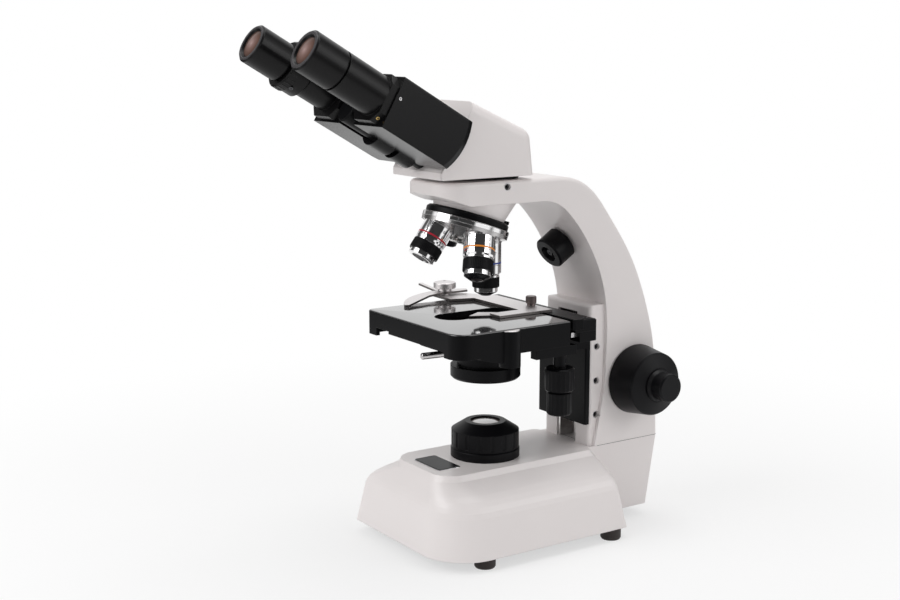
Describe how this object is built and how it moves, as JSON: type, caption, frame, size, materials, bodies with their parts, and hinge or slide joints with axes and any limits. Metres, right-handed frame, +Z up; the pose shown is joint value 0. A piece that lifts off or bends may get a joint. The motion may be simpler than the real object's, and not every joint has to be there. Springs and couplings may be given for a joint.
{
  "type": "binocular compound microscope",
  "caption": "Upright laboratory microscope: white base and curved arm, black mechanical stage with coaxial knobs, condenser, revolving nosepiece with objectives and an inclined binocular head.",
  "frame": {"origin": "where the optical axis meets the table", "axes": "+Z up, -Y towards the user at the eyepieces, +X to the user's right"},
  "size_m": [0.1725, 0.3354, 0.3925],
  "materials": {
    "white_paint": "satin",
    "black_metal": "satin",
    "black_plastic": "satin",
    "rubber": "matte",
    "steel": "satin",
    "chrome": "polished",
    "brass": "satin",
    "silver": "satin",
    "glass": "gloss",
    "coated_glass": "gloss"
  },
  "bodies": {
    "stand": {"base_shell": "white_paint", "base_plate": "steel", "rubber_feet": "rubber", "foot_screws": "steel", "lamp_module": "black_metal", "power_inlet": "black_plastic", "illuminator_collar": "black_metal", "arm_casting": "white_paint", "arm_bolts": "steel", "guide_rails": "steel", "set_screws": "steel", "nosepiece_mount": "black_metal", "turret_pivot": "steel"},
    "collector": {"collector_cap": "black_metal", "collector_lens": "glass"},
    "dimmer": {"brightness_knob": "black_plastic"},
    "coarse_drive": {"coarse_shaft": "steel", "coarse_knobs": "black_plastic"},
    "fine_drive": {"fine_shaft": "steel", "fine_knobs": "black_plastic"},
    "carriage": {"stage_carriage": "black_metal", "focus_rack": "brass", "stage_base": "black_metal", "condenser_carrier": "black_metal", "condenser_body": "black_metal", "condenser_lens": "glass"},
    "iris": {"iris_lever": "black_metal"},
    "stage": {"stage_plate": "black_metal", "x_guide": "black_metal", "gear_case": "black_metal"},
    "y_drive": {"y_knob": "black_plastic"},
    "x_drive": {"x_knob": "black_plastic"},
    "holder": {"rack_bar": "black_metal", "slide_holder": "silver", "holder_thumbscrew": "steel", "finger_knob": "silver"},
    "finger": {"slide_finger": "silver"},
    "turret": {"nosepiece_turret": "chrome", "port_plug": "black_metal", "objective_4x": "chrome", "objective_10x": "chrome", "objective_40x": "chrome", "objective_grips": "black_metal", "objective_lenses": "glass"},
    "head": {"head_housing": "white_paint", "head_front_cover": "white_paint", "head_dovetail": "black_metal", "head_prism": "glass", "hinge_barrel": "black_metal"},
    "right_ocular": {"prism_housing_right": "black_metal", "prism_right": "glass", "eyepiece_tube_right": "black_metal", "eyepiece_right": "black_metal", "eye_lens_right": "coated_glass"},
    "left_ocular": {"prism_housing_left": "black_metal", "prism_left": "glass", "eyepiece_tube_left": "black_metal"},
    "diopter": {"diopter_ring": "black_metal"},
    "left_eyepiece": {"eyepiece_left": "black_metal", "eye_lens_left": "coated_glass"}
  },
  "joints": [
    {"name": "collector_turn", "type": "hinge", "parent": "stand", "child": "collector", "pos_m": [0, 0, 0.08], "axis": [0, 0, 1], "range_deg": [-90, 90]},
    {"name": "brightness_turn", "type": "hinge", "parent": "stand", "child": "dimmer", "pos_m": [0, 0.0732, 0.2268], "axis": [0, -0.8387, -0.5446], "range_deg": [0, 270]},
    {"name": "stage_lift", "type": "slide", "parent": "stand", "child": "carriage", "axis": [0, 0, 1], "range_m": [-0.015, 0.009]},
    {"name": "coarse_turn", "type": "hinge", "parent": "stand", "child": "coarse_drive", "pos_m": [0, 0.1245, 0.116], "axis": [1, 0, 0], "range_deg": [-86, 143.3]},
    {"name": "fine_turn", "type": "hinge", "parent": "stand", "child": "fine_drive", "pos_m": [0, 0.1245, 0.116], "axis": [1, 0, 0], "continuous": true},
    {"name": "stage_y", "type": "slide", "parent": "carriage", "child": "stage", "axis": [0, 1, 0], "range_m": [-0.02, 0.004]},
    {"name": "y_turn", "type": "hinge", "parent": "stage", "child": "y_drive", "pos_m": [0.052, 0.0315, 0.14], "axis": [0, 0, 1], "range_deg": [-229.3, 45.9]},
    {"name": "slide_x", "type": "slide", "parent": "stage", "child": "holder", "axis": [1, 0, 0], "range_m": [-0.01, 0.025]},
    {"name": "x_turn", "type": "hinge", "parent": "stage", "child": "x_drive", "pos_m": [0.052, 0.0315, 0.14], "axis": [0, 0, 1], "range_deg": [-286.5, 114.7]},
    {"name": "finger_swing", "type": "hinge", "parent": "holder", "child": "finger", "pos_m": [-0.0725, 0.0105, 0.181], "axis": [0, 0, 1], "range_deg": [-25, 0], "stiffness_Nm_per_rad": 0.04, "springref_deg": 17.19},
    {"name": "iris_turn", "type": "hinge", "parent": "carriage", "child": "iris", "pos_m": [0, 0, 0.149], "axis": [0, 0, 1], "range_deg": [-35, 35]},
    {"name": "turret_turn", "type": "hinge", "parent": "stand", "child": "turret", "pos_m": [0, -0.0213, 0.23939], "axis": [0, -0.3156, -0.9489], "continuous": true},
    {"name": "head_turn", "type": "hinge", "parent": "stand", "child": "head", "pos_m": [0, 0, 0.2813], "axis": [0, 0, 1], "continuous": true},
    {"name": "eye_distance_right", "type": "hinge", "parent": "head", "child": "right_ocular", "pos_m": [0, -0.08817, 0.31729], "axis": [0, -0.866, 0.5], "range_deg": [-14, 16]},
    {"name": "eye_distance_left", "type": "hinge", "parent": "head", "child": "left_ocular", "pos_m": [0, -0.08817, 0.31729], "axis": [0, -0.866, 0.5], "range_deg": [-16, 14]},
    {"name": "diopter_turn", "type": "hinge", "parent": "left_ocular", "child": "diopter", "pos_m": [-0.032, -0.14334, 0.36173], "axis": [0, -0.866, 0.5], "range_deg": [0, 180]},
    {"name": "diopter_lift", "type": "slide", "parent": "left_ocular", "child": "left_eyepiece", "axis": [0, -0.866, 0.5], "range_m": [0, 0.004]}
  ],
  "couplings": [
    {"joint": "coarse_turn", "follows": "stage_lift", "rad_per_m": -166.67},
    {"joint": "y_turn", "follows": "stage_y", "rad_per_m": 200},
    {"joint": "x_turn", "follows": "slide_x", "rad_per_m": -200},
    {"joint": "eye_distance_left", "follows": "eye_distance_right", "ratio": -1},
    {"joint": "diopter_lift", "follows": "diopter_turn", "m_per_rad": 0.001273}
  ]
}
